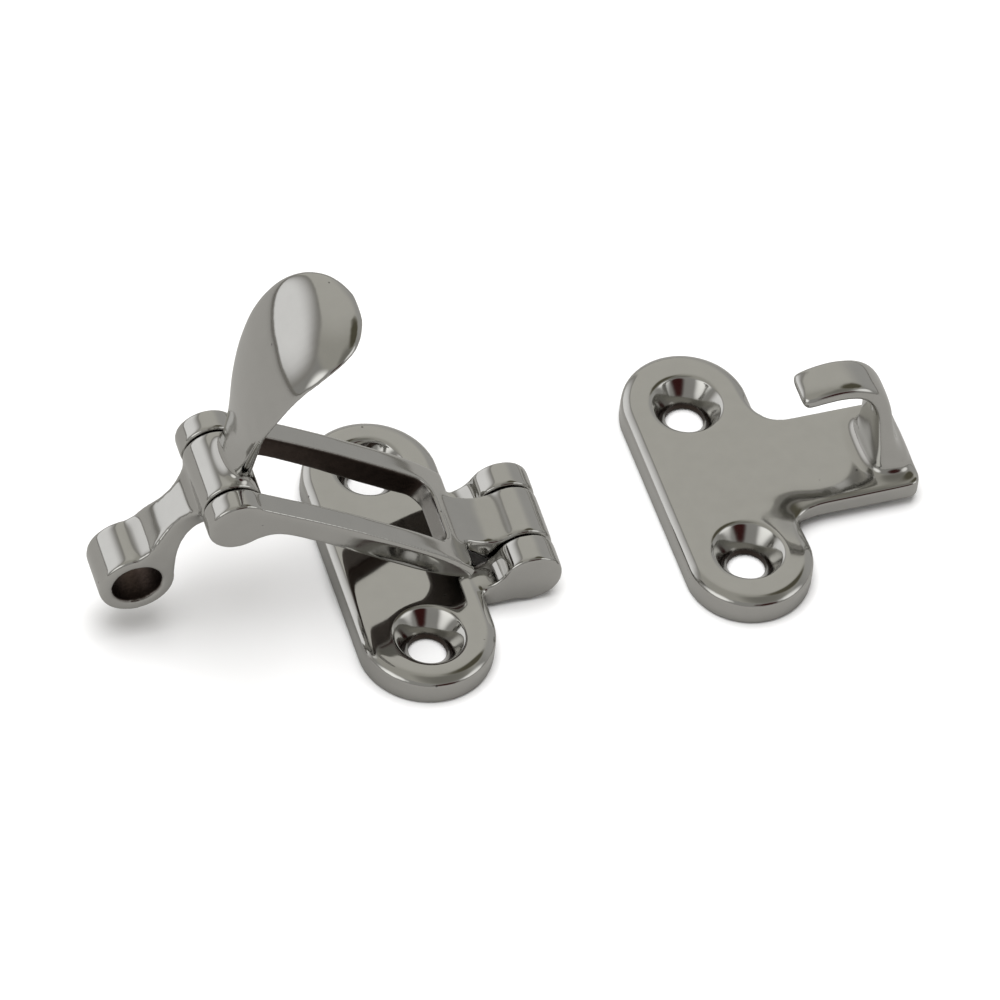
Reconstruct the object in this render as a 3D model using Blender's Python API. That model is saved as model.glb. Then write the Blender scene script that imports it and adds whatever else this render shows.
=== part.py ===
"""Casement window fastener: hinged toggle arm with cam lever, and its hooked keeper.

Built in metres, +Z up.  The origin is the middle of the base plate's underside, +X runs
towards the hinge ears, +Y runs along the plate and along both hinge pins.
"""
import bpy
import bmesh
from math import atan2, cos, degrees, pi, radians, sin, tan
from mathutils import Matrix, Vector

MM = 0.001

# ---- driving dimensions, mm -------------------------------------------------------------
BASE_HALF = 12.9           # middle of the base plate to the middle of its round end
KEEP_HALF = 12.8           # the same for the keeper plate
BASE_R = 8.8               # half width of the base plate
KEEP_R = 8.2               # half width of the keeper plate
RIM_Z = 3.5                # straight side of a plate
PLATE_Z = 4.2              # flat top of a plate
RIM_IN = 1.2               # how far the sloped rim runs in
SCREW_R = 2.45             # screw hole
SINK_R = 4.6               # countersink at the top face
SINK_Z = 1.2               # where the countersink ends
BASE_HOLE = 13.9           # base hole to the middle of the plate
KEEP_HOLE = 12.3           # keeper hole to the middle of the plate

HINGE = (15.2, 4.3)        # base hinge axis, x and z
KNUCKLE_R = 4.0            # hinge ears and knuckles
EAR_OUT = 8.2              # outer face of both pairs of ears
EAR_REAR, EAR_FRONT = 4.4, -3.9          # inner faces of the base ears
MID_REAR, MID_FRONT = 4.1, -3.6          # frame knuckle between the base ears
PIN_R = 1.6                # both pins
BORE_R = 1.75              # holes the pins pass through
PIVOT = (-25.1, 24.9)      # lever pivot axis, x and z
LEVER_HALF = 4.65          # lever knuckle
WINDOW_HALF = 4.95         # half width of the fork and of the frame's window
WINDOW_SLOPE = -30.5       # slope of the rails, degrees
WINDOW_END = 33.2          # pivot axis to the far end of the window
PIN_LOW, PIN_HIGH = -6.7, 7.9   # ends of both pins, along y

BARREL = (-35.9, 10.6)     # middle of the lever's barrel
BARREL_R = 4.9
BARREL_HALF = 3.5
BARREL_HOLE = 3.15

KEEPER_AT = (43.1, 3.1)    # middle of the keeper plate
KEEPER_TURN = 2.0          # its turn about z, degrees
ARM_HALF = 7.1             # half width of the keeper's arm
ARM_END = 25.2             # end of the keeper's arm
ARM_LOW = 1.2              # underside of the keeper's arm

GREY = (0.56, 0.55, 0.53)


# ---- tools ------------------------------------------------------------------------------
def clear():
    for ob in list(bpy.data.objects):
        bpy.data.objects.remove(ob, do_unlink=True)


def collection(name):
    made = bpy.data.collections.new(name)
    bpy.context.scene.collection.children.link(made)
    return made


def steel(name, tint, rough):
    mat = bpy.data.materials.new(name)
    mat.use_nodes = True
    bsdf = mat.node_tree.nodes["Principled BSDF"]
    bsdf.inputs["Base Color"].default_value = (*tint, 1.0)
    bsdf.inputs["Metallic"].default_value = 1.0
    bsdf.inputs["Roughness"].default_value = rough
    mat.diffuse_color = (*tint, 1.0)
    return mat


def rounded(corners, step=15.0):
    """Outline through (a, b, radius) corners, each turned with its own radius."""
    out = []
    count = len(corners)
    for i, (a, b, r) in enumerate(corners):
        here = Vector((a, b))
        back = (Vector(corners[i - 1][:2]) - here).normalized()
        ahead = (Vector(corners[(i + 1) % count][:2]) - here).normalized()
        half = back.angle(ahead) / 2
        if r <= 0:
            out.append((a, b))
            continue
        centre = here + (back + ahead).normalized() * (r / sin(half))
        start = here + back * (r / tan(half)) - centre
        sweep = start.angle_signed(here + ahead * (r / tan(half)) - centre)
        parts = max(2, round(abs(degrees(sweep)) / step))
        for k in range(parts + 1):
            turn = -sweep * k / parts
            out.append((centre.x + start.x * cos(turn) - start.y * sin(turn),
                        centre.y + start.x * sin(turn) + start.y * cos(turn)))
    return out


def smooth_line(points, per=6):
    """Catmull-Rom line through the points (any number of values per point)."""
    pts = [Vector(p) for p in points]
    pts = [pts[0] * 2 - pts[1]] + pts + [pts[-1] * 2 - pts[-2]]
    out = []
    for a, b, c, d in zip(pts, pts[1:], pts[2:], pts[3:]):
        for k in range(per):
            t = k / per
            out.append(0.5 * ((2 * b) + (c - a) * t + (2 * a - 5 * b + 4 * c - d) * t * t
                              + (3 * b - a - 3 * c + d) * t ** 3))
    out.append(pts[-2])
    return out


def arc(centre, r, start, end, step=15.0):
    parts = max(2, round(abs(end - start) / step))
    return [(centre[0] + r * cos(radians(start + (end - start) * k / parts)),
             centre[1] + r * sin(radians(start + (end - start) * k / parts)))
            for k in range(parts + 1)]


def prism(name, outline, low, high, flat=False):
    """Outline filled and stretched: x, z along y, or x, y along z when flat."""
    curve = bpy.data.curves.new(name, "CURVE")
    curve.dimensions = "2D"
    curve.fill_mode = "BOTH"
    curve.extrude = (high - low) / 2 * MM
    spline = curve.splines.new("POLY")
    spline.points.add(len(outline) - 1)
    spline.use_cyclic_u = True
    for point, (a, b) in zip(spline.points, outline):
        point.co = (a * MM, b * MM, 0, 1)
    holder = bpy.data.objects.new(name, curve)
    bpy.context.scene.collection.objects.link(holder)
    mid = (low + high) / 2 * MM
    if flat:
        holder.location = (0, 0, mid)
    else:
        holder.rotation_euler = (pi / 2, 0, 0)
        holder.location = (0, mid, 0)
    bpy.context.view_layer.update()
    graph = bpy.context.evaluated_depsgraph_get()
    mesh = bpy.data.meshes.new_from_object(holder.evaluated_get(graph))
    mesh.transform(holder.matrix_world)
    bpy.data.objects.remove(holder, do_unlink=True)
    bpy.data.curves.remove(curve)
    bm = bmesh.new()
    bm.from_mesh(mesh)
    bmesh.ops.remove_doubles(bm, verts=bm.verts, dist=0.0005 * MM)
    bmesh.ops.dissolve_limit(bm, angle_limit=0.01, verts=bm.verts, edges=bm.edges)
    if not flat:
        bmesh.ops.triangulate(bm, faces=[f for f in bm.faces if len(f.verts) > 4])
    bmesh.ops.recalc_face_normals(bm, faces=bm.faces)
    bm.to_mesh(mesh)
    bm.free()
    return mesh


def rod(centre, r, low, high, segments=32):
    """Round bar along y at (x, z)."""
    bm = bmesh.new()
    bmesh.ops.create_cone(bm, cap_ends=True, segments=segments, radius1=r * MM,
                          radius2=r * MM, depth=(high - low) * MM)
    place = Matrix.Translation((centre[0] * MM, (low + high) / 2 * MM, centre[1] * MM))
    bm.transform(place @ Matrix.Rotation(-pi / 2, 4, "X"))
    mesh = bpy.data.meshes.new("rod")
    bm.to_mesh(mesh)
    bm.free()
    return mesh


def screw_hole(x, y):
    """Through hole and countersink, as one turned cutter."""
    bm = bmesh.new()
    slope = (SINK_R - SCREW_R) / (PLATE_Z - SINK_Z)
    top = PLATE_Z + 1.0
    for r1, r2, low, high in ((SCREW_R, SCREW_R, -1.0, SINK_Z + 0.01),
                              (SCREW_R, SINK_R + slope, SINK_Z, top)):
        made = bmesh.ops.create_cone(bm, cap_ends=True, segments=32, radius1=r1 * MM,
                                     radius2=r2 * MM, depth=(high - low) * MM)
        bmesh.ops.translate(bm, verts=made["verts"],
                            vec=(x * MM, y * MM, (low + high) / 2 * MM))
    mesh = bpy.data.meshes.new("screw_hole")
    bm.to_mesh(mesh)
    bm.free()
    return mesh


def swept(name, stations, segments=16, power=4.0, per=3):
    """Bar through (x, z, half width, half thickness) stations, y across, ends closed."""
    line = smooth_line(stations, per)
    bm = bmesh.new()
    bmesh.ops.create_cone(bm, cap_ends=True, segments=segments, radius1=1, radius2=1, depth=1)
    sides = [e for e in bm.edges if abs(e.verts[0].co.z - e.verts[1].co.z) > 0.5]
    bmesh.ops.subdivide_edges(bm, edges=sides, cuts=len(line) - 2, use_grid_fill=True)
    for v in bm.verts:
        k = round((v.co.z + 0.5) * (len(line) - 1))
        x, z, wide, thick = line[k]
        ahead = line[min(k + 1, len(line) - 1)] - line[max(k - 1, 0)]
        way = Vector((ahead[0], ahead[1])).normalized()
        turn = atan2(v.co.y, v.co.x)
        c, s = cos(turn), sin(turn)
        out = (abs(c) ** power + abs(s) ** power) ** (-1 / power)
        across, up = wide * out * c, thick * out * s
        v.co = Vector(((x - way.y * up) * MM, across * MM, (z + way.x * up) * MM))
    bmesh.ops.recalc_face_normals(bm, faces=bm.faces)
    mesh = bpy.data.meshes.new(name)
    bm.to_mesh(mesh)
    bm.free()
    return mesh


def piece(name, mesh, parent, origin=(0.0, 0.0), rough=0.12):
    """One named part; its own origin sits at (x, z), on its axis when it turns."""
    shift = Vector((origin[0], 0, origin[1])) * MM
    mesh.transform(Matrix.Translation(-shift))
    ob = bpy.data.objects.new(name, mesh)
    PARTS.objects.link(ob)
    ob.parent = parent
    ob.location = shift
    mesh.materials.append(steel(name + "_steel", GREY, rough))
    return ob


def blend(body, mesh, how):
    """Live Boolean between a part and a tool kept in the tools collection."""
    mesh.transform(Matrix.Translation(-body.location))
    tool = bpy.data.objects.new(f"{body.name}_tool_{len(body.modifiers) + 1}", mesh)
    TOOLS.objects.link(tool)
    tool.parent = body.parent
    tool.location = body.location
    tool.hide_render = True
    tool.display_type = "WIRE"
    mod = body.modifiers.new(f"{how.lower()} {len(body.modifiers) + 1}", "BOOLEAN")
    mod.operation = how
    mod.solver = "EXACT"
    mod.object = tool


def empty(name, place, turn=0.0):
    ob = bpy.data.objects.new(name, None)
    PARTS.objects.link(ob)
    ob.location = Vector(place) * MM
    ob.rotation_euler = (0, 0, radians(turn))
    return ob


def tilted(outline, centre, slope, low, high):
    """Outline in (along, y) stretched square to a sloping line through centre (x, z)."""
    mesh = prism("tilted", outline, low, high, flat=True)
    place = Matrix.Translation((centre[0] * MM, 0, centre[1] * MM))
    mesh.transform(place @ Matrix.Rotation(-radians(slope), 4, "Y"))
    return mesh


def plate(r, half):
    """Stadium plate with a straight side and a sloped rim."""
    outline = arc((0, half), r, 0, 180, 9) + arc((0, -half), r, 180, 360, 9)
    mesh = prism("plate", outline, 0, RIM_Z, flat=True)
    bm = bmesh.new()
    bm.from_mesh(mesh)
    top = max(bm.faces, key=lambda f: f.calc_center_median().z)
    bmesh.ops.inset_region(bm, faces=[top], thickness=RIM_IN * MM, use_even_offset=True)
    bmesh.ops.translate(bm, verts=top.verts, vec=(0, 0, (PLATE_Z - RIM_Z) * MM))
    bm.to_mesh(mesh)
    bm.free()
    return mesh


# ---- parts ------------------------------------------------------------------------------
def flat_line(points, per):
    return [tuple(p) for p in smooth_line(points, per)]


def ear_outline():
    """Ear with a flat foot and a hollow neck that runs into the plate."""
    neck = flat_line([(11.5, 5.75), (10.6, 4.6), (9.4, 4.0), (8.0, 3.8)], 3)
    foot = flat_line([(15.6, 0.9), (17.0, 1.3), (18.0, 2.1), (18.8, 3.5)], 3)
    return ([(5.0, 0.2), (9.0, 0.3)] + foot[:-1] + arc(HINGE, KNUCKLE_R, -10, 150, 12) + neck
            + [(5.0, 3.8)])


def base_plate(root):
    ob = piece("base_plate", plate(BASE_R, BASE_HALF), root)
    for low, high in ((EAR_REAR, EAR_OUT), (-EAR_OUT, EAR_FRONT)):
        blend(ob, prism("ear", ear_outline(), low, high), "UNION")
    for side in (1, -1):
        blend(ob, screw_hole(0, side * BASE_HOLE), "DIFFERENCE")
    blend(ob, rod(HINGE, BORE_R, -7.0, 9.0), "DIFFERENCE")
    return ob


def rail_outline():
    """Side view of the fork, the rails and the web."""
    top = flat_line([(-24.2, 28.75), (-19.0, 25.9), (-11.0, 21.3), (-4.4, 17.1),
                     (1.4, 13.2), (4.6, 10.7), (7.5, 7.9)], 3)
    low = flat_line([(7.0, 6.7), (4.3, 7.3), (0.8, 9.2), (-3.1, 11.7), (-7.0, 14.3),
                     (-10.9, 17.0), (-14.5, 19.3), (-18.0, 21.4), (-20.1, 22.2),
                     (-21.6, 22.1), (-23.0, 21.6)], 2)
    ear = arc(PIVOT, KNUCKLE_R, -65, -270, 12)
    return top + low + ear


def knuckle_outline():
    """Side view of the middle knuckle and the valley that joins it to the web."""
    valley = flat_line([(3.2, 11.3), (5.0, 10.0), (7.0, 8.75), (9.3, 7.6), (11.3, 7.15),
                        (12.9, 7.55)], 3)
    under = flat_line([(11.6, 2.6), (10.4, 3.9), (8.8, 5.35), (6.9, 7.1), (4.6, 8.3)], 3)
    return ([(3.0, 9.6)] + valley[:-1] + arc(HINGE, KNUCKLE_R, 118, -150, 12) + under)


def swing_frame(pivot):
    ob = piece("swing_frame", prism("rails", rail_outline(), -EAR_OUT, EAR_OUT), pivot, HINGE)
    blend(ob, prism("knuckle", knuckle_outline(), MID_FRONT, MID_REAR), "UNION")
    window = rounded([(-9.0, -WINDOW_HALF, 0), (WINDOW_END, -WINDOW_HALF, 2.4),
                      (WINDOW_END, WINDOW_HALF, 2.4), (-9.0, WINDOW_HALF, 0)])
    blend(ob, tilted(window, PIVOT, WINDOW_SLOPE, -12, 12), "DIFFERENCE")
    blend(ob, rod(HINGE, BORE_R, -9, 9), "DIFFERENCE")
    blend(ob, rod(PIVOT, BORE_R, -7.0, 9.0), "DIFFERENCE")
    return ob


def arm_outline():
    """Side view of the short arm between the lever's knuckle and its barrel."""
    back = flat_line([(-31.05, 10.6), (-31.1, 13.5), (-31.0, 15.6), (-30.1, 17.7),
                      (-28.4, 19.8), (-26.6, 21.5)], 3)
    front = flat_line([(-28.2, 25.6), (-29.2, 23.6), (-30.8, 21.7), (-32.4, 19.8),
                       (-33.8, 18.0), (-34.9, 16.3), (-36.6, 15.2)], 3)
    return back + [(-25.2, 24.5)] + front + [BARREL]


def arm_plan():
    """Half widths along the arm, from the barrel to the knuckle."""
    side = flat_line([(-7.0, 3.5), (4.5, 3.5), (6.8, 3.3), (9.0, 2.7), (11.2, 2.5),
                      (13.2, 3.1), (14.8, 4.2), (16.2, 4.6), (22.0, 4.65)], 3)
    return side + [(a, -b) for a, b in reversed(side)]


def leaf():
    return swept("leaf", [
        (-24.4, 26.4, 3.6, 2.2), (-23.7, 29.4, 3.7, 1.7), (-23.3, 33.7, 4.6, 1.25),
        (-23.2, 39.0, 6.1, 1.0), (-22.6, 43.4, 7.4, 0.9), (-21.5, 47.2, 8.2, 0.85),
        (-19.7, 50.4, 8.6, 0.8), (-17.3, 52.8, 8.6, 0.8), (-14.7, 54.2, 7.9, 0.8),
        (-12.4, 54.7, 6.5, 0.75), (-10.9, 54.7, 4.6, 0.7), (-10.1, 54.5, 2.6, 0.6)],
        power=2.6)


def cam_lever(pivot):
    slope = degrees(atan2(PIVOT[1] - BARREL[1], PIVOT[0] - BARREL[0]))
    arm = prism("arm", arm_outline(), -LEVER_HALF - 1, LEVER_HALF + 1)
    ob = piece("cam_lever", arm, pivot, PIVOT)
    blend(ob, tilted(arm_plan(), BARREL, slope, -20, 20), "INTERSECT")
    blend(ob, rod(BARREL, BARREL_R, -BARREL_HALF, BARREL_HALF), "UNION")
    blend(ob, rod(PIVOT, KNUCKLE_R, -LEVER_HALF, LEVER_HALF), "UNION")
    blend(ob, leaf(), "UNION")
    blend(ob, rod(BARREL, BARREL_HOLE, -6, 6), "DIFFERENCE")
    blend(ob, rod(PIVOT, BORE_R, -6, 6), "DIFFERENCE")
    return ob


def pin(name, parent, centre):
    return piece(name, rod(centre, PIN_R, PIN_LOW, PIN_HIGH, 24), parent, centre)


def keeper_plate(stand):
    ob = piece("keeper_plate", plate(KEEP_R, KEEP_HALF), stand)
    front = flat_line([(6.9, -11.6), (7.4, -9.7), (8.5, -8.0), (10.6, -ARM_HALF)], 4)
    rear = flat_line([(10.4, ARM_HALF), (8.6, 8.5), (7.5, 10.7), (6.9, 13.2)], 4)
    arm = rounded([(3.0, -11.6, 0)] + [(a, b, 0) for a, b in front]
                  + [(ARM_END, -ARM_HALF, 1.1), (ARM_END, ARM_HALF, 1.1)]
                  + [(a, b, 0) for a, b in rear] + [(3.0, 13.2, 0)])
    blend(ob, prism("arm", arm, ARM_LOW, PLATE_Z, flat=True), "UNION")
    blend(ob, hook(), "UNION")
    for side in (1, -1):
        blend(ob, screw_hole(0, side * KEEP_HOLE), "DIFFERENCE")
    return ob


def hook():
    return swept("hook", [
        (22.0, 2.4, 5.2, 3.0), (22.0, 4.3, 4.9, 2.8), (21.6, 6.0, 4.4, 2.1),
        (21.2, 8.2, 3.9, 1.5), (20.8, 11.2, 3.5, 1.25), (20.3, 14.2, 3.2, 1.15), (19.2, 16.8, 3.0, 1.15),
        (17.3, 18.5, 2.9, 1.15), (14.6, 19.1, 2.85, 1.15), (12.0, 18.9, 2.8, 1.15),
        (9.5, 18.3, 2.7, 1.05)],
        power=5.0)


clear()
PARTS = collection("casement window fastener")
TOOLS = collection("cutting tools")
root = empty("fastener_root", (0, 0, 0))
keeper_stand = empty("keeper_stand", (*KEEPER_AT, 0), KEEPER_TURN)
base_plate(root)
swing_frame(root)
cam_lever(root)
pin("base_hinge_pin", root, HINGE)
pin("lever_pivot_pin", root, PIVOT)
keeper_plate(keeper_stand)
TOOLS.hide_render = True
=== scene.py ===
"""Casement window fastener in polished cast steel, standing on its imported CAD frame.

Shapes are worked out in millimetres, with x towards the hinge, y along the pins and z up,
and every finished piece is brought to metres with its place in its mesh.
"""
from math import atan2, cos, degrees, pi, radians, sin

import bmesh
import bpy
import numpy as np
from mathutils import Matrix, Vector


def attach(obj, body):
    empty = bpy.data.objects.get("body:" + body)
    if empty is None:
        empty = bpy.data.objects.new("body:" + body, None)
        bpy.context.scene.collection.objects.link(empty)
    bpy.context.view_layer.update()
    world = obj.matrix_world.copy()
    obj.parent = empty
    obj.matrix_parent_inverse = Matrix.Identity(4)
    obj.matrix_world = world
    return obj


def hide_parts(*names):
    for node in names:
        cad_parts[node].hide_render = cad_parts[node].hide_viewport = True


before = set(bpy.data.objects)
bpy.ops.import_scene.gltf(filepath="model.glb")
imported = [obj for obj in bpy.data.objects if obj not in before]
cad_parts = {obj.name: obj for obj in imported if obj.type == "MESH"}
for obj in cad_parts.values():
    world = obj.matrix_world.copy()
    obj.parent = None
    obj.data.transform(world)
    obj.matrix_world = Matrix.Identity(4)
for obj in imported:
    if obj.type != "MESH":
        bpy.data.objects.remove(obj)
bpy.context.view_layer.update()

# ---- sizes, mm --------------------------------------------------------------------------
BASE_HALF, BASE_R, BASE_HOLE = 12.9, 8.8, 13.9
KEEP_HALF, KEEP_R, KEEP_HOLE = 12.8, 8.2, 12.3
RIM_Z, PLATE_Z, RIM_IN = 3.5, 4.2, 1.2
SCREW_R, SINK_R, SINK_Z = 2.45, 4.6, 1.2

HINGE = (15.2, 4.3)
KNUCKLE_R = 4.0
EAR_OUT, EAR_REAR, EAR_FRONT = 8.2, 4.4, -3.9
MID_REAR, MID_FRONT = 4.1, -3.6
PIN_R, BORE_R = 1.6, 1.75
PIN_LOW, PIN_HIGH = -6.7, 7.9
PIVOT = (-25.1, 24.9)
LEVER_HALF = 4.65
WINDOW_HALF, WINDOW_END, WINDOW_SLOPE = 4.95, 33.2, -30.5
WINDOW_START = -9.0

BARREL = (-35.9, 10.6)
BARREL_R, BARREL_HALF, BARREL_HOLE = 4.9, 3.5, 3.15

KEEPER_AT, KEEPER_TURN = (43.1, 3.1), 2.0
ARM_HALF, ARM_END, ARM_LOW = 7.1, 25.2, 1.2

GRAIN = {"frame": 0.15, "lever": 0.16, "base": 0.17, "keeper": 0.18}   # of the casting skin
FLOOR_SEEN, FLOOR_MIRRORED = (0.90, 0.90, 0.91), (0.36, 0.355, 0.345)
KEEPER_WORN = (                # where the wheel bit: x, y, reach in x, reach in y, depth
    (8.0, -9.0, 2.9, 3.2, 0.60),
    (13.0, -8.3, 5.5, 2.2, 0.40),
    (20.0, -8.3, 5.0, 1.9, 0.30),
    (24.8, 7.2, 1.7, 2.0, 0.45),
    (0.5, -5.2, 4.5, 1.0, 0.07),
    (-5.0, -9.0, 1.1, 3.0, 0.05))
BASE_WORN = ((6.8, -14.0, 2.2, 4.0, 0.22), (0.0, -21.0, 6.0, 2.2, 0.16))

STEEL = (0.525, 0.52, 0.502)
RAW_SHADE_TONE = (0.07, 0.052, 0.045)            # share of the steel's tone left on cast walls, undersides and bores, as painted shade
HOLLOW_SHADE_TONE = (0.50, 0.47, 0.44)           # share of the steel's tone left in the hollows, as painted shade
RIPPLE_HIGH, LINES_HIGH, GRAIN_HIGH, PIT_DEEP = 0.060, 0.0006, 0.05, 0.02
ROOM = (0.36, 0.355, 0.34)
ROOM_LIGHTS = (                # direction, edge and full angle, brightness; dark ones are flags
    ((0.05, 0.20, 0.98), 50, 38, (0.46, 0.45, 0.41)),
    ((0.10, 0.90, 0.42), 56, 30, (0.62, 0.61, 0.565)),
    ((-0.66, 0.70, 0.22), 40, 36, (0.34, 0.33, 0.31)),
    ((-0.66, 0.70, 0.22), 37, 14, (1.06, 1.06, 1.06)),
    ((0.85, 0.50, 0.20), 42, 16, (0.47, 0.465, 0.45)),
    ((0.25, -0.30, 0.92), 28, 6, (0.24, 0.235, 0.21)),
    ((0.50, 0.16, 0.84), 19, 11, (0.11, 0.102, 0.072)),
    ((-0.75, -0.35, 0.55), 26, 6, (1.40, 1.40, 1.37)),
    ((0.75, -0.45, 0.48), 22, 4, (1.20, 1.20, 1.18)),
    ((0.25, -0.84, 0.46), 22, 9, (0.05, 0.014, 0.013)))
SKIRTING = (0.24, 0.23, 0.21)  # dark line where the room meets the floor
SKIRTING_TOP, SKIRTING_SOLID = 0.045, 0.022

LENS, SENSOR = 747.48, 36.0
CAMERA_AIM, CAMERA_FAR = (8.15, -10.65, 25.0), 2598.5
CAMERA_LEFT, CAMERA_ABOVE, CAMERA_ROLL = 22.85, 50.39, 8.44        # degrees


# ---- shop tools: solids -----------------------------------------------------------------
def mesh_from(bm, name):
    bmesh.ops.recalc_face_normals(bm, faces=bm.faces)
    mesh = bpy.data.meshes.new(name)
    bm.to_mesh(mesh)
    bm.free()
    return mesh


def eased(*points):
    """Flowing corners of an outline."""
    return [(a, b, 1) for a, b in points]


def sharp(*points):
    """Sharp corners of an outline."""
    return [(a, b, 0) for a, b in points]


def wire_loop(bm, corners):
    """Closed wire through (a, b, ease) corners; ease 1 is a flowing corner, 0 a sharp one."""
    verts = [bm.verts.new((a, b, 0)) for a, b, _ in corners]
    for first, second in zip(verts, verts[1:] + verts[:1]):
        bm.edges.new((first, second))
    flowing_corners = [v for v, c in zip(verts, corners) if c[2] == 1]
    if flowing_corners:
        bmesh.ops.bevel(bm, geom=flowing_corners, offset=49.8, offset_type="PERCENT",
                        segments=8, profile=0.5, affect="VERTICES", material=-1)
        bmesh.ops.remove_doubles(bm, verts=bm.verts, dist=0.04)


def cut_out(corners, low, high, name="cut_out"):
    """Flat outline filled and raised from low to high."""
    bm = bmesh.new()
    wire_loop(bm, corners)
    bmesh.ops.contextual_create(bm, geom=bm.edges)
    raised = bmesh.ops.extrude_face_region(bm, geom=bm.faces[:])
    bmesh.ops.translate(bm, vec=(0, 0, high - low),
                        verts=[g for g in raised["geom"] if isinstance(g, bmesh.types.BMVert)])
    bmesh.ops.translate(bm, verts=bm.verts, vec=(0, 0, low))
    bmesh.ops.triangulate(bm, faces=[f for f in bm.faces if len(f.verts) > 4])
    return mesh_from(bm, name)


def side_cut(corners, low, high, name="side_cut"):
    """The same, stood up: the outline is in x and z, and the width runs along y."""
    mesh = cut_out(corners, -high, -low, name)
    mesh.transform(Matrix.Rotation(pi / 2, 4, "X"))
    return mesh


def slope_cut(corners, centre, slope, low, high):
    """The same, square to a line that slopes through centre; the outline is (along, y)."""
    mesh = cut_out(corners, low, high)
    place = Matrix.Translation((centre[0], 0, centre[1]))
    mesh.transform(place @ Matrix.Rotation(-radians(slope), 4, "Y"))
    return mesh


def round_bar(centre, radius, low, high, sides=96, soften=0.0):
    """Turned bar along y through centre (x, z), with its end edges softened."""
    bm = bmesh.new()
    bmesh.ops.create_cone(bm, cap_ends=True, segments=sides, radius1=radius, radius2=radius,
                          depth=high - low)
    if soften:
        rims = [e for e in bm.edges if abs(e.verts[0].co.z - e.verts[1].co.z) < 0.001]
        bmesh.ops.bevel(bm, geom=rims, offset=soften, segments=4, profile=0.5,
                        affect="EDGES", material=-1)
    bm.transform(Matrix.Translation((centre[0], (low + high) / 2, centre[1]))
                 @ Matrix.Rotation(-pi / 2, 4, "X"))
    return mesh_from(bm, "round_bar")


def screw_seat(place_y):
    """Through hole and countersink turned as one cutter."""
    bm = bmesh.new()
    rise = (SINK_R - SCREW_R) / (PLATE_Z - SINK_Z)
    profile = ((0, -1), (SCREW_R, -1), (SCREW_R, SINK_Z), (SINK_R + rise, PLATE_Z + 1),
               (0, PLATE_Z + 1))
    verts = [bm.verts.new((r, 0, z)) for r, z in profile]
    edges = [bm.edges.new(pair) for pair in zip(verts, verts[1:])]
    bmesh.ops.spin(bm, geom=verts + edges, cent=(0, 0, 0), axis=(0, 0, 1), dvec=(0, 0, 0),
                   angle=2 * pi, steps=96, use_merge=True)
    bmesh.ops.remove_doubles(bm, verts=bm.verts, dist=0.001)
    bmesh.ops.translate(bm, verts=bm.verts, vec=(0, place_y, 0))
    return mesh_from(bm, "screw_seat")


def stadium_plate(radius, half, name):
    """Plate with round ends, a straight side and a sloped rim, pulled out of a round disc."""
    bm = bmesh.new()
    bmesh.ops.create_circle(bm, cap_ends=True, segments=160, radius=radius)
    for level, across, on_rim in ((RIM_Z, radius, False), (PLATE_Z, radius - RIM_IN, True)):
        top = max(bm.faces, key=lambda f: f.calc_center_median().z)
        raised = bmesh.ops.extrude_face_region(bm, geom=[top])["geom"]
        ring = [g for g in raised if isinstance(g, bmesh.types.BMVert)]
        bmesh.ops.translate(bm, vec=(0, 0, level - ring[0].co.z), verts=ring)
        bmesh.ops.scale(bm, vec=(across / radius, across / radius, 1), verts=ring)
        if on_rim:
            bmesh.ops.delete(bm, geom=[top], context="FACES_ONLY")
    for side in (1, -1):
        bmesh.ops.translate(bm, vec=(0, side * half, 0),
                            verts=[v for v in bm.verts if v.co.y * side > 0.01])
    return mesh_from(bm, name)


def forged_bar(stations, power, crown=0.0, sides=48, between=7):
    """Bar run through (x, z, half width, half thickness) stations, with y across it.

    A crown bends its two edges away from the left side, by that share of the half width.
    """
    line = flowing(stations, between)
    bm = bmesh.new()
    bmesh.ops.create_cone(bm, cap_ends=True, segments=sides, radius1=1, radius2=1, depth=1)
    long_edges = [e for e in bm.edges if abs(e.verts[0].co.z - e.verts[1].co.z) > 0.5]
    bmesh.ops.subdivide_edges(bm, edges=long_edges, cuts=len(line) - 2, use_grid_fill=True)
    for v in bm.verts:
        k = round((v.co.z + 0.5) * (len(line) - 1))
        x, z, wide, thick = line[k]
        ahead = line[min(k + 1, len(line) - 1)] - line[max(k - 1, 0)]
        way = Vector((ahead[0], ahead[1])).normalized()
        turn = atan2(v.co.y, v.co.x)
        c, s = cos(turn), sin(turn)
        out = (abs(c) ** power + abs(s) ** power) ** (-1 / power)
        across, up = wide * out * c, thick * out * s
        up -= crown * wide * (out * c) ** 2 * min(1, k / (0.4 * len(line)))
        v.co = Vector((x - way.y * up, across, z + way.x * up))
    return mesh_from(bm, "forged_bar")


def flowing(stations, between):
    """Catmull-Rom line through the stations."""
    pts = [Vector(p) for p in stations]
    pts = [pts[0] * 2 - pts[1]] + pts + [pts[-1] * 2 - pts[-2]]
    out = []
    for a, b, c, d in zip(pts, pts[1:], pts[2:], pts[3:]):
        for k in range(between):
            t = k / between
            out.append(0.5 * ((2 * b) + (c - a) * t + (2 * a - 5 * b + 4 * c - d) * t * t
                              + (3 * b - a - 3 * c + d) * t ** 3))
    out.append(pts[-2])
    return out


# ---- shop tools: casting and polishing --------------------------------------------------
def evaluated(ob):
    graph = bpy.context.evaluated_depsgraph_get()
    return bpy.data.meshes.new_from_object(ob.evaluated_get(graph))


def holder_for(mesh, name):
    ob = bpy.data.objects.new(name, mesh)
    bpy.context.scene.collection.objects.link(ob)
    return ob


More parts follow.
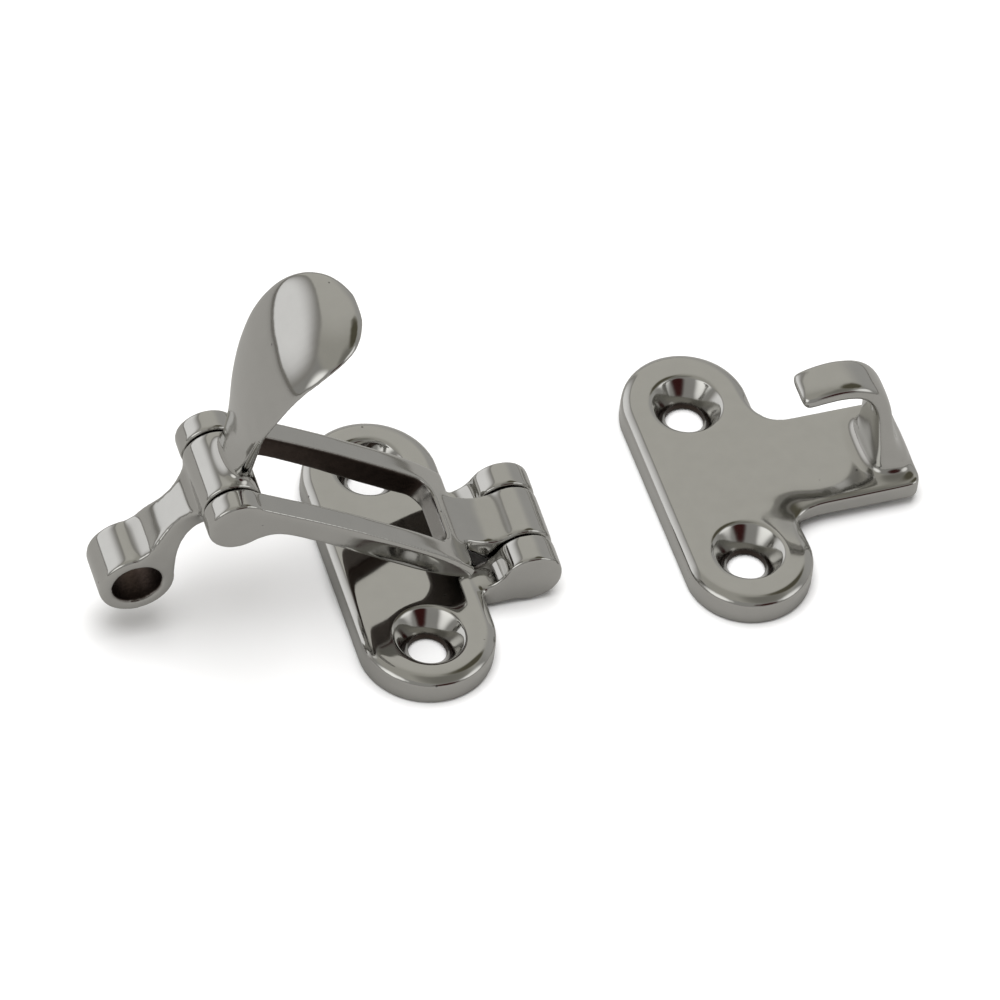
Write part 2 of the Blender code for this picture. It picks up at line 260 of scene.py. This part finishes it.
def cast(name, steps, grain):
    """Joins and cuts the solids in turn, then gives the whole one even casting skin."""
    body = holder_for(steps[0], name)
    tools = []
    for how, mesh in steps[1:]:
        tool = holder_for(mesh, name + "_tool")
        tools.append(tool)
        cut = body.modifiers.new("cut", "BOOLEAN")
        cut.operation, cut.solver, cut.object = how, "EXACT", tool
    skin = body.modifiers.new("skin", "REMESH")
    skin.mode, skin.voxel_size, skin.adaptivity = "VOXEL", grain, 0.0
    mesh = evaluated(body)
    for ob in tools + [body]:
        bpy.data.objects.remove(ob, do_unlink=True)
    return mesh


def neighbours(mesh):
    pairs = np.empty(len(mesh.edges) * 2, np.int32)
    mesh.edges.foreach_get("vertices", pairs)
    return pairs.reshape(-1, 2)


def spread(values, pairs, passes):
    """Averages a value, or a place, with its neighbours' a number of times."""
    count = np.bincount(pairs.ravel(), minlength=len(values)).astype(float)
    shape = (-1,) + (1,) * (values.ndim - 1)
    for _ in range(passes):
        total = np.zeros_like(values)
        np.add.at(total, pairs[:, 0], values[pairs[:, 1]])
        np.add.at(total, pairs[:, 1], values[pairs[:, 0]])
        values = values * 0.5 + total / count.reshape(shape) * 0.5
    return values


def places(mesh):
    co = np.empty(len(mesh.vertices) * 3)
    mesh.vertices.foreach_get("co", co)
    return co.reshape(-1, 3)


def facings(mesh):
    no = np.empty(len(mesh.vertices) * 3, np.float32)
    mesh.vertex_normals.foreach_get("vector", no)
    return no.reshape(-1, 3).astype(float)


def bend_of(mesh, pairs):
    """How the skin bends at each vertex, per mm: above 0 on an edge, below 0 in a hollow."""
    co, no = places(mesh), facings(mesh)
    total = np.zeros(len(co))
    step = co[pairs[:, 1]] - co[pairs[:, 0]]
    length2 = (step ** 2).sum(1) + 1e-9
    np.add.at(total, pairs[:, 0], -(step * no[pairs[:, 0]]).sum(1) / length2)
    np.add.at(total, pairs[:, 1], (step * no[pairs[:, 1]]).sum(1) / length2)
    count = np.bincount(pairs.ravel(), minlength=len(co))
    return spread(total / count, pairs, 4)


def polish(mesh, edge_passes, fillet_passes):
    """Rubs every edge over, and fills the inner corners with a wider fillet."""
    pairs = neighbours(mesh)
    co = spread(places(mesh), pairs, edge_passes)
    mesh.vertices.foreach_set("co", co.ravel())
    mesh.update()
    hollow = np.clip(-bend_of(mesh, pairs) * 2.2, 0, 1)
    hollow = np.clip(spread(hollow, pairs, 24) * 5.0, 0, 1)[:, None]
    filled = co
    for _ in range(fillet_passes // 10):
        filled = filled * (1 - hollow) + spread(filled, pairs, 10) * hollow
    mesh.vertices.foreach_set("co", filled.ravel())
    mesh.update()


def wheel_worn(mesh, spots):
    """Lets the top face sink where the wheel bit; the underside and what stands up stay."""
    co = places(mesh)
    over, under = PLATE_Z + 0.8, PLATE_Z - 2.7
    on_top = np.clip((over - co[:, 2]) / 0.5, 0, 1) * np.clip((co[:, 2] - under) / 2.5, 0, 1)
    for x, y, reach_x, reach_y, depth in spots:
        far = ((co[:, 0] - x) / reach_x) ** 2 + ((co[:, 1] - y) / reach_y) ** 2
        co[:, 2] -= depth * np.exp(-far) * on_top
    mesh.vertices.foreach_set("co", co.ravel())
    mesh.update()


def finished(name, mesh, body, material, raw_and_shade=None, turn=None):
    """Names the piece, stores its edge, hollow and as-cast values, which carry a painted
    highlight and painted shade, and sets it on its frame body.
    """
    pairs = neighbours(mesh)
    bend = bend_of(mesh, pairs)
    store(mesh, "edge", np.clip(bend * 0.9, 0, 1))
    store(mesh, "hollow", np.clip(spread(np.clip(-bend, 0, 1), pairs, 6) * 2.0, 0, 1))
    rough = raw_and_shade(places(mesh), facings(mesh)) if raw_and_shade else np.zeros(len(bend))
    store(mesh, "as_cast_and_shade", spread(rough.astype(float), pairs, 3))
    if turn is not None:
        mesh.transform(turn)
    mesh.transform(Matrix.Scale(0.001, 4))
    mesh.materials.clear()
    mesh.materials.append(material)
    mesh.polygons.foreach_set("use_smooth", [True] * len(mesh.polygons))
    mesh.update()
    ob = holder_for(mesh, name)
    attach(ob, body)
    return ob


def store(mesh, name, values):
    layer = mesh.attributes.new(name, "FLOAT", "POINT")
    layer.data.foreach_set("value", values.astype(np.float32))


# ---- pieces -----------------------------------------------------------------------------
def ear_outline():
    """Foot, hollow neck and the part of the round that the ear bar leaves open."""
    return (sharp((5.0, 0.2), (9.0, 0.3))
            + eased((15.6, 0.9), (17.0, 1.3), (18.0, 2.1))
            + sharp((18.9, 3.6), (15.2, 7.9), (12.0, 6.6), (11.5, 5.75))
            + eased((10.6, 4.6), (9.4, 4.0)) + sharp((8.0, 3.8), (5.0, 3.8)))


def make_base_plate(steel):
    steps = [stadium_plate(BASE_R, BASE_HALF, "base")]
    for low, high in ((EAR_REAR, EAR_OUT), (-EAR_OUT, EAR_FRONT)):
        steps.append(("UNION", side_cut(ear_outline(), low, high)))
        steps.append(("UNION", round_bar(HINGE, KNUCKLE_R, low, high)))
    for side in (1, -1):
        steps.append(("DIFFERENCE", screw_seat(side * BASE_HOLE)))
    steps.append(("DIFFERENCE", round_bar(HINGE, BORE_R, -7.0, 9.0)))
    mesh = cast("base", steps, GRAIN["base"])
    polish(mesh, edge_passes=20, fillet_passes=110)
    wheel_worn(mesh, BASE_WORN)
    ob = finished("base_plate_polished", mesh, "base", steel,
                  lambda co, no: plate_raw_and_shade(co, no, BASE_HOLE))
    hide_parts("base_plate")


def plate_raw_and_shade(co, no, hole):
    """The underside and the screw holes keep the skin they were cast and drilled with, and take
    painted shade.
    """
    under = (no[:, 2] < -0.8) & (co[:, 2] < 0.25)
    off = np.hypot(co[:, 0], np.abs(co[:, 1]) - hole)
    return (under | (off < SCREW_R + 0.12)).astype(float)


def make_swing_frame(steel):
    rails = side_cut(
        sharp((-24.2, 28.8)) + eased((-19.0, 25.9), (-11.0, 21.3), (-4.4, 17.1), (1.4, 13.2),
                                     (4.6, 10.7)) + sharp((7.5, 7.9), (7.0, 6.7))
        + eased((4.3, 7.3), (0.8, 9.2), (-3.1, 11.7), (-7.0, 14.3), (-10.9, 17.0),
                (-14.5, 19.3), (-18.0, 21.4), (-20.1, 22.2), (-21.6, 22.1))
        + sharp((-23.4, 21.4), (-28.0, 25.0)), -EAR_OUT, EAR_OUT)
    knuckle = side_cut(
        sharp((3.0, 9.6), (3.2, 11.3)) + eased((5.0, 10.0), (7.0, 8.75), (9.3, 7.6),
                                               (11.3, 7.15))
        + sharp((13.3, 7.75), (16.0, 4.3), (11.7, 2.5))
        + eased((10.4, 3.9), (8.8, 5.35), (6.9, 7.1)) + sharp((4.6, 8.3)),
        MID_FRONT, MID_REAR)
    opening = cut_out_window()
    steps = [rails,
             ("UNION", round_bar(PIVOT, KNUCKLE_R, -EAR_OUT, EAR_OUT)),
             ("UNION", knuckle),
             ("UNION", round_bar(HINGE, KNUCKLE_R, MID_FRONT, MID_REAR)),
             ("DIFFERENCE", opening),
             ("DIFFERENCE", round_bar(HINGE, BORE_R, -9, 9)),
             ("DIFFERENCE", round_bar(PIVOT, BORE_R, -7.0, 9.0))]
    mesh = cast("swing_frame", steps, GRAIN["frame"])
    polish(mesh, edge_passes=28, fillet_passes=120)
    ob = finished("swing_frame_polished", mesh, "frame", steel, window_raw_and_shade)
    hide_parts("swing_frame")


def cut_out_window():
    """Long window with two round corners, square to the slope of the rails."""
    bm = bmesh.new()
    corners = ((WINDOW_START, -WINDOW_HALF), (WINDOW_END, -WINDOW_HALF),
               (WINDOW_END, WINDOW_HALF), (WINDOW_START, WINDOW_HALF))
    face = bm.faces.new([bm.verts.new((a, b, -12)) for a, b in corners])
    raised = bmesh.ops.extrude_face_region(bm, geom=[face])
    bmesh.ops.translate(bm, vec=(0, 0, 24),
                        verts=[g for g in raised["geom"] if isinstance(g, bmesh.types.BMVert)])
    far = [e for e in bm.edges if abs(e.verts[0].co.z - e.verts[1].co.z) > 1
           and e.verts[0].co.x > 1]
    bmesh.ops.bevel(bm, geom=far, offset=2.4, segments=12, profile=0.5, affect="EDGES",
                    material=-1)
    bm.transform(Matrix.Translation((PIVOT[0], 0, PIVOT[1]))
                 @ Matrix.Rotation(-radians(WINDOW_SLOPE), 4, "Y"))
    return mesh_from(bm, "window")


def window_raw_and_shade(co, no):
    """The walls of the window and the underside keep more or less of their casting skin, and take
    painted shade.
    """
    slope = radians(WINDOW_SLOPE)
    along = (co[:, 0] - PIVOT[0]) * cos(slope) + (co[:, 2] - PIVOT[1]) * sin(slope)
    down = no[:, 0] * cos(slope) + no[:, 2] * sin(slope)
    up = no[:, 2] * cos(slope) - no[:, 0] * sin(slope)
    inside = (along > 5) & (along < WINDOW_END + 0.3) & (np.abs(co[:, 1]) < WINDOW_HALF + 0.2)
    raw_and_shade = np.where(inside & (np.abs(no[:, 1]) > 0.7), 1.0, 0.0)
    raw_and_shade = np.where(inside & (along > WINDOW_END - 2.6) & (down < -0.5), 0.4, raw_and_shade)
    return np.where((up < -0.6) & (along > 6) & (along < 42), 0.85, raw_and_shade)


def make_cam_lever(steel):
    slope = degrees(atan2(PIVOT[1] - BARREL[1], PIVOT[0] - BARREL[0]))
    arm = side_cut(
        sharp((-31.05, 10.6)) + eased((-31.1, 13.5), (-31.0, 15.6), (-30.1, 17.7),
                                      (-28.4, 19.8))
        + sharp((-26.6, 21.5), (-25.2, 24.5), (-28.2, 25.6))
        + eased((-29.2, 23.6), (-30.8, 21.7), (-32.4, 19.8), (-33.8, 18.0))
        + sharp((-34.9, 16.3), (-36.6, 15.2), BARREL), -LEVER_HALF - 1, LEVER_HALF + 1)
    side = ((-7.0, 3.5), (4.5, 3.5), (6.8, 3.3), (9.0, 2.7), (11.2, 2.5), (13.2, 3.1),
            (14.8, 4.2), (16.2, 4.6), (22.0, 4.65))
    plan = [(a, b, 1 if 4 < a < 17 else 0) for a, b in side]
    plan += [(a, -b, ease) for a, b, ease in reversed(plan)]
    leaf = forged_bar([
        (-24.4, 26.4, 3.6, 2.2), (-23.7, 29.4, 3.7, 1.7), (-23.3, 33.7, 4.6, 1.25),
        (-23.2, 39.0, 6.1, 1.0), (-22.6, 43.4, 7.4, 0.9), (-21.5, 47.2, 8.2, 0.85),
        (-19.7, 50.4, 8.6, 0.8), (-17.3, 52.8, 8.6, 0.8), (-14.7, 54.2, 7.9, 0.8),
        (-12.4, 54.7, 6.5, 0.75), (-10.9, 54.7, 4.6, 0.7), (-10.1, 54.5, 2.6, 0.6)], 2.6, 0.10)
    steps = [arm,
             ("INTERSECT", slope_cut(plan, BARREL, slope, -20, 20)),
             ("UNION", round_bar(BARREL, BARREL_R, -BARREL_HALF, BARREL_HALF)),
             ("UNION", round_bar(PIVOT, KNUCKLE_R, -LEVER_HALF, LEVER_HALF)),
             ("UNION", leaf),
             ("DIFFERENCE", round_bar(BARREL, BARREL_HOLE, -6, 6)),
             ("DIFFERENCE", round_bar(PIVOT, BORE_R, -6, 6))]
    mesh = cast("cam_lever", steps, GRAIN["lever"])
    polish(mesh, edge_passes=21, fillet_passes=110)
    ob = finished("cam_lever_polished", mesh, "lever", steel, barrel_raw_and_shade)
    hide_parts("cam_lever")


def barrel_raw_and_shade(co, no):
    """The bore of the barrel is left as it was cast, and takes painted shade."""
    off = np.hypot(co[:, 0] - BARREL[0], co[:, 2] - BARREL[1])
    return (off < BARREL_HOLE + 0.15).astype(float)


def make_keeper_plate(steel):
    arm = cut_out(
        sharp((3.0, -12.0), (6.9, -12.0)) + eased((7.4, -9.7), (8.5, -7.8), (10.6, -ARM_HALF))
        + sharp((14.0, -ARM_HALF), (ARM_END - 3.0, -ARM_HALF)) + eased((ARM_END, -ARM_HALF))
        + sharp((ARM_END, -ARM_HALF + 3.0), (ARM_END, ARM_HALF - 3.0))
        + eased((ARM_END, ARM_HALF)) + sharp((ARM_END - 3.0, ARM_HALF), (14.0, ARM_HALF))
        + eased((10.4, ARM_HALF), (8.6, 8.5), (7.5, 10.7))
        + sharp((6.9, 13.5), (3.0, 13.5)), ARM_LOW, PLATE_Z)
    hook = forged_bar([
        (22.0, 2.4, 5.6, 3.2), (22.0, 4.3, 5.1, 2.9), (21.6, 6.0, 4.5, 2.2),
        (21.2, 8.2, 4.0, 1.6), (20.8, 11.2, 3.5, 1.35), (20.3, 14.2, 3.2, 1.25),
        (19.2, 16.8, 3.0, 1.25), (17.3, 18.5, 2.9, 1.2), (14.6, 19.1, 2.85, 1.2),
        (12.0, 18.9, 2.8, 1.15),
        (9.9, 18.4, 2.65, 1.05), (9.4, 18.25, 2.3, 0.8), (9.25, 18.2, 1.7, 0.45)], 3.4)
    steps = [stadium_plate(KEEP_R, KEEP_HALF, "keeper"), ("UNION", arm), ("UNION", hook)]
    for side in (1, -1):
        steps.append(("DIFFERENCE", screw_seat(side * KEEP_HOLE)))
    mesh = cast("keeper", steps, GRAIN["keeper"])
    polish(mesh, edge_passes=20, fillet_passes=120)
    wheel_worn(mesh, KEEPER_WORN)
    place = (Matrix.Translation((*KEEPER_AT, 0)) @ Matrix.Rotation(radians(KEEPER_TURN), 4, "Z"))
    ob = finished("keeper_plate_polished", mesh, "keeper", steel,
                  lambda co, no: plate_raw_and_shade(co, no, KEEP_HOLE), place)
    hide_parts("keeper_plate")


def make_pin(name, centre, body, steel):
    """Turned pin with softened ends."""
    mesh = round_bar(centre, PIN_R, PIN_LOW, PIN_HIGH, 64, 0.25)
    bm = bmesh.new()
    bm.from_mesh(mesh)
    long_edges = [e for e in bm.edges if abs(e.verts[0].co.y - e.verts[1].co.y) > 8]
    bmesh.ops.subdivide_edges(bm, edges=long_edges, cuts=24, use_grid_fill=True)
    bmesh.ops.triangulate(bm, faces=[f for f in bm.faces if len(f.verts) > 4])
    bm.to_mesh(mesh)
    bm.free()
    ob = finished(name + "_turned", mesh, body, steel)
    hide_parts(name)


# ---- finishes ---------------------------------------------------------------------------
def new_group(name, inputs, outputs):
    group = bpy.data.node_groups.new(name, "ShaderNodeTree")
    for label, kind, value in inputs:
        socket = group.interface.new_socket(label, in_out="INPUT", socket_type=kind)
        if value is not None:
            socket.default_value = value
    for label, kind in outputs:
        group.interface.new_socket(label, in_out="OUTPUT", socket_type=kind)
    return group, group.nodes.new("NodeGroupInput"), group.nodes.new("NodeGroupOutput")


def add(tree, kind, settings=None, **sockets):
    """A node with its settings and its sockets filled with values or with other outputs."""
    node = tree.nodes.new(kind)
    for key, value in (settings or {}).items():
        setattr(node, key, value)
    for key, value in sockets.items():
        spot = node.inputs[int(key[1:]) if key[0] == "i" and key[1:].isdigit()
                           else key.replace("_", " ")]
        if isinstance(value, bpy.types.NodeSocket):
            tree.links.new(value, spot)
        else:
            spot.default_value = value
    return node


def sums(tree, how, first, second, third=None, clamp=False):
    parts = {"i0": first, "i1": second}
    if third is not None:
        parts["i2"] = third
    return add(tree, "ShaderNodeMath", {"operation": how, "use_clamp": clamp}, **parts).outputs[0]


def cloudy(tree, place, scale, detail, rough=0.5):
    return add(tree, "ShaderNodeTexNoise", None, Vector=place, Scale=scale, Detail=detail,
               Roughness=rough).outputs["Fac"]


def wheel_marks_group():
    """Fine polishing lines that wander, and the slow ripple that hand polishing leaves."""
    group, given, out = new_group(
        "wheel marks",
        [("Place", "NodeSocketVector", None), ("Stretch", "NodeSocketVector", (1, 1, 1)),
         ("Line Scale", "NodeSocketFloat", 9000), ("Ripple Scale", "NodeSocketFloat", 160)],
        [("Lines", "NodeSocketFloat"), ("Ripple", "NodeSocketFloat"),
         ("Patches", "NodeSocketFloat")])
    place = given.outputs["Place"]
    bent = add(group, "ShaderNodeVectorMath", {"operation": "MULTIPLY"}, i0=place,
               i1=given.outputs["Stretch"]).outputs[0]
    lines = cloudy(group, bent, given.outputs["Line Scale"], 3.0)
    ripple = cloudy(group, place, given.outputs["Ripple Scale"], 1.0, 0.4)
    patches = cloudy(group, place, 420.0, 3.0)
    group.links.new(lines, out.inputs["Lines"])
    group.links.new(ripple, out.inputs["Ripple"])
    group.links.new(patches, out.inputs["Patches"])
    return group


def casting_skin_group():
    """Mottled grain of the surfaces that were never polished, and rare pits everywhere."""
    group, given, out = new_group(
        "casting skin",
        [("Place", "NodeSocketVector", None), ("Scale", "NodeSocketFloat", 2200)],
        [("Grain", "NodeSocketFloat"), ("Mottle", "NodeSocketFloat"),
         ("Pits", "NodeSocketFloat")])
    place = given.outputs["Place"]
    grain = cloudy(group, place, given.outputs["Scale"], 4.0, 0.65)
    mottle = cloudy(group, place, 600.0, 2.0)
    near = add(group, "ShaderNodeTexVoronoi", None, Vector=place, Scale=520.0).outputs["Distance"]
    hole = sums(group, "LESS_THAN", near, 0.085)
    rare = sums(group, "GREATER_THAN", cloudy(group, place, 230.0, 1.0), 0.60)
    group.links.new(grain, out.inputs["Grain"])
    group.links.new(mottle, out.inputs["Mottle"])
    group.links.new(sums(group, "MULTIPLY", hole, rare), out.inputs["Pits"])
    return group


def polished_steel(name, tint, smooth, stretch, offset):
    """Hand polished cast steel; painted highlight on the edges, painted shade in the rougher
    hollows and on the unpolished cast inner walls.
    """
    mat = bpy.data.materials.new(name)
    mat.use_nodes = True
    tree = mat.node_tree
    bsdf = tree.nodes["Principled BSDF"]
    bsdf.inputs["Metallic"].default_value = 1.0
    where = add(tree, "ShaderNodeTexCoord").outputs["Object"]
    where = add(tree, "ShaderNodeMapping", None, Vector=where, Location=offset).outputs[0]
    marks = add(tree, "ShaderNodeGroup", {"node_tree": WHEEL_MARKS}, Place=where,
                Stretch=stretch)
    skin = add(tree, "ShaderNodeGroup", {"node_tree": CASTING_SKIN}, Place=where)
    edge, hollow, raw_and_shade = (add(tree, "ShaderNodeAttribute", {"attribute_name": n}).outputs["Fac"]
                         for n in ("edge", "hollow", "as_cast_and_shade"))

    # painted shade: the colour darkens towards this tone in the hollows
    painted_shade_tone = tuple(c * k for c, k in zip(tint, HOLLOW_SHADE_TONE))
    # painted highlight: convex edges lighten towards this tone
    edge_highlight_tone = tuple(min(1, c * 1.10) for c in tint)
    # painted shade: near-black tone for cast walls, undersides and bores
    raw_shade_tone = tuple(c * k for c, k in zip(tint, RAW_SHADE_TONE))
    cloud = add(tree, "ShaderNodeMix", {"data_type": "RGBA"}, Factor=marks.outputs["Patches"],
                i6=(*(c * 0.95 for c in tint), 1), i7=(*(min(1, c * 1.04) for c in tint), 1))
    # how far the hollows take the painted shade
    shade = sums(tree, "MULTIPLY", hollow, 0.75)
    tone = add(tree, "ShaderNodeMix", {"data_type": "RGBA"}, Factor=shade, i6=cloud.outputs[2],
               i7=(*painted_shade_tone, 1))
    # how far the edges take the painted highlight
    bright = sums(tree, "MULTIPLY", edge, 0.8)
    tone = add(tree, "ShaderNodeMix", {"data_type": "RGBA"}, Factor=bright, i6=tone.outputs[2],
               i7=(*edge_highlight_tone, 1))
    # the rough cast areas take the painted shade, varied at random by the mottle
    mottled = add(tree, "ShaderNodeMix", {"data_type": "RGBA"}, Factor=skin.outputs["Mottle"],
                  i6=(*raw_shade_tone, 1), i7=(*(c * 2.8 for c in raw_shade_tone), 1))
    tone = add(tree, "ShaderNodeMix", {"data_type": "RGBA"}, Factor=raw_and_shade, i6=tone.outputs[2],
               i7=mottled.outputs[2])
    tone = add(tree, "ShaderNodeMix", {"data_type": "RGBA"}, i6=tone.outputs[2],
               i7=(*raw_shade_tone, 1), Factor=sums(tree, "MULTIPLY", skin.outputs["Pits"], 0.6))
    tree.links.new(tone.outputs[2], bsdf.inputs["Base Color"])

    rough = sums(tree, "MULTIPLY_ADD", marks.outputs["Patches"], 0.03, smooth)
    rough = sums(tree, "MULTIPLY_ADD", marks.outputs["Lines"], 0.02, rough)
    rough = sums(tree, "MULTIPLY_ADD", hollow, 0.12, rough)
    rough = sums(tree, "MULTIPLY_ADD", raw_and_shade, 0.30, rough, clamp=True)
    tree.links.new(rough, bsdf.inputs["Roughness"])

    height = sums(tree, "MULTIPLY", marks.outputs["Ripple"], RIPPLE_HIGH)
    height = sums(tree, "MULTIPLY_ADD", marks.outputs["Lines"], LINES_HIGH, height)
    grain = sums(tree, "MULTIPLY", skin.outputs["Grain"], raw_and_shade)
    height = sums(tree, "MULTIPLY_ADD", grain, GRAIN_HIGH, height)
    height = sums(tree, "MULTIPLY_ADD", skin.outputs["Pits"], -PIT_DEEP, height)
    bump = add(tree, "ShaderNodeBump", None, Strength=1.0, Distance=0.001, Height=height)
    tree.links.new(bump.outputs["Normal"], bsdf.inputs["Normal"])
    return mat


# ---- studio -----------------------------------------------------------------------------
def make_floor():
    """Pale paper that gives back less light into the steel than it shows to the eye."""
    bm = bmesh.new()
    bmesh.ops.create_grid(bm, x_segments=2, y_segments=2, size=1.5)
    floor = holder_for(mesh_from(bm, "studio_floor"), "studio_floor")
    mat = bpy.data.materials.new("pale floor")
    mat.use_nodes = True
    tree = mat.node_tree
    bsdf = tree.nodes["Principled BSDF"]
    seen = add(tree, "ShaderNodeLightPath").outputs["Is Camera Ray"]
    tone = add(tree, "ShaderNodeMix", {"data_type": "RGBA"}, Factor=seen,
               i6=(*FLOOR_MIRRORED, 1), i7=(*FLOOR_SEEN, 1))
    tree.links.new(tone.outputs[2], bsdf.inputs["Base Color"])
    bsdf.inputs["Roughness"].default_value = 0.9
    bsdf.inputs["Specular IOR Level"].default_value = 0.1
    floor.data.materials.append(mat)


def soft_box(name, place, aim, width, height, power):
    """Lamp for the floor alone; the steel is lit by the room."""
    light = bpy.data.lights.new(name, "AREA")
    light.shape = "RECTANGLE"
    light.size, light.size_y = width, height
    light.energy = power
    ob = holder_for(light, name)
    ob.location = place
    ob.rotation_euler = (Vector(aim) - Vector(place)).to_track_quat("-Z", "Y").to_euler()
    ob.visible_glossy = False


def soft_lamp_group():
    """Round soft light seen in one direction, with a wide blurred edge."""
    group, given, out = new_group(
        "soft lamp",
        [("Direction", "NodeSocketVector", None), ("Aim", "NodeSocketVector", (0, 0, 1)),
         ("Edge", "NodeSocketFloat", 0.6), ("Full", "NodeSocketFloat", 0.8),
         ("Tone", "NodeSocketColor", (1, 1, 1, 1)), ("Under", "NodeSocketColor", (0, 0, 0, 1))],
        [("Light", "NodeSocketColor")])
    aim = add(group, "ShaderNodeVectorMath", {"operation": "NORMALIZE"},
              i0=given.outputs["Aim"]).outputs[0]
    near = add(group, "ShaderNodeVectorMath", {"operation": "DOT_PRODUCT"},
               i0=given.outputs["Direction"], i1=aim).outputs["Value"]
    glow = add(group, "ShaderNodeMapRange", {"interpolation_type": "SMOOTHSTEP"}, i0=near,
               i1=given.outputs["Edge"], i2=given.outputs["Full"]).outputs[0]
    light = add(group, "ShaderNodeMix", {"data_type": "RGBA"}, Factor=glow,
                i6=given.outputs["Under"], i7=given.outputs["Tone"])
    group.links.new(light.outputs[2], out.inputs["Light"])
    return group


def make_room():
    """Soft room: bright behind and at both sides, with dark flags above and in front."""
    world = bpy.data.worlds.new("soft room")
    bpy.context.scene.world = world
    world.use_nodes = True
    tree = world.node_tree
    lamp = soft_lamp_group()
    way = add(tree, "ShaderNodeTexCoord").outputs["Generated"]
    light = (*ROOM, 1)
    for aim, edge, full, tone in ROOM_LIGHTS:
        light = add(tree, "ShaderNodeGroup", {"node_tree": lamp}, Direction=way, Aim=aim,
                    Edge=cos(radians(edge)), Full=cos(radians(full)), Under=light,
                    Tone=(*tone, 1)).outputs[0]
    height = add(tree, "ShaderNodeSeparateXYZ", None, Vector=way).outputs["Z"]
    band = add(tree, "ShaderNodeMapRange", {"interpolation_type": "SMOOTHSTEP"}, i0=height,
               i1=SKIRTING_TOP, i2=SKIRTING_SOLID).outputs[0]
    light = add(tree, "ShaderNodeMix", {"data_type": "RGBA"}, Factor=band, i6=light,
                i7=(*SKIRTING, 1)).outputs[2]
    tree.links.new(light, tree.nodes["Background"].inputs["Color"])


def make_studio():
    make_floor()
    make_room()
    soft_box("overhead soft box", (-0.1, 0.1, 1.6), (0.01, 0, 0), 1.5, 1.2, 30.0)


def make_camera():
    """Long lens from the front left and above, rolled a little, looking at the aim point."""
    camera = bpy.data.cameras.new("camera")
    camera.lens, camera.sensor_width = LENS, SENSOR
    camera.clip_start, camera.clip_end = 0.1, 20.0
    ob = holder_for(camera, "camera")
    look = (Matrix.Rotation(-radians(CAMERA_LEFT), 4, "Z")
            @ Matrix.Rotation(radians(90 - CAMERA_ABOVE), 4, "X"))
    ob.location = (Vector(CAMERA_AIM) + look @ Vector((0, 0, CAMERA_FAR))) * 0.001
    ob.rotation_euler = (look @ Matrix.Rotation(radians(CAMERA_ROLL), 4, "Z")).to_euler()
    bpy.context.scene.camera = ob


WHEEL_MARKS = wheel_marks_group()
CASTING_SKIN = casting_skin_group()
make_base_plate(polished_steel("base plate polished steel", STEEL, 0.045, (1.0, 0.06, 1.0),
                               (0.0, 0.0, 0.0)))
make_swing_frame(polished_steel("swing frame polished steel", STEEL, 0.07, (0.08, 1.0, 0.08),
                                (0.02, 0.01, 0.0)))
make_cam_lever(polished_steel("cam lever polished steel", STEEL, 0.055, (1.0, 1.0, 0.06),
                              (0.01, 0.03, 0.02)))
make_keeper_plate(polished_steel("keeper plate polished steel", STEEL, 0.08, (1.0, 0.06, 1.0),
                                 (0.03, 0.02, 0.01)))
PIN_STEEL = polished_steel("turned pin steel", STEEL, 0.12, (1.0, 0.05, 1.0), (0.0, 0.02, 0.03))
make_pin("base_hinge_pin", HINGE, "base", PIN_STEEL)
make_pin("lever_pivot_pin", PIVOT, "frame", PIN_STEEL)

make_studio()
make_camera()
bpy.context.scene.view_settings.view_transform = "Standard"
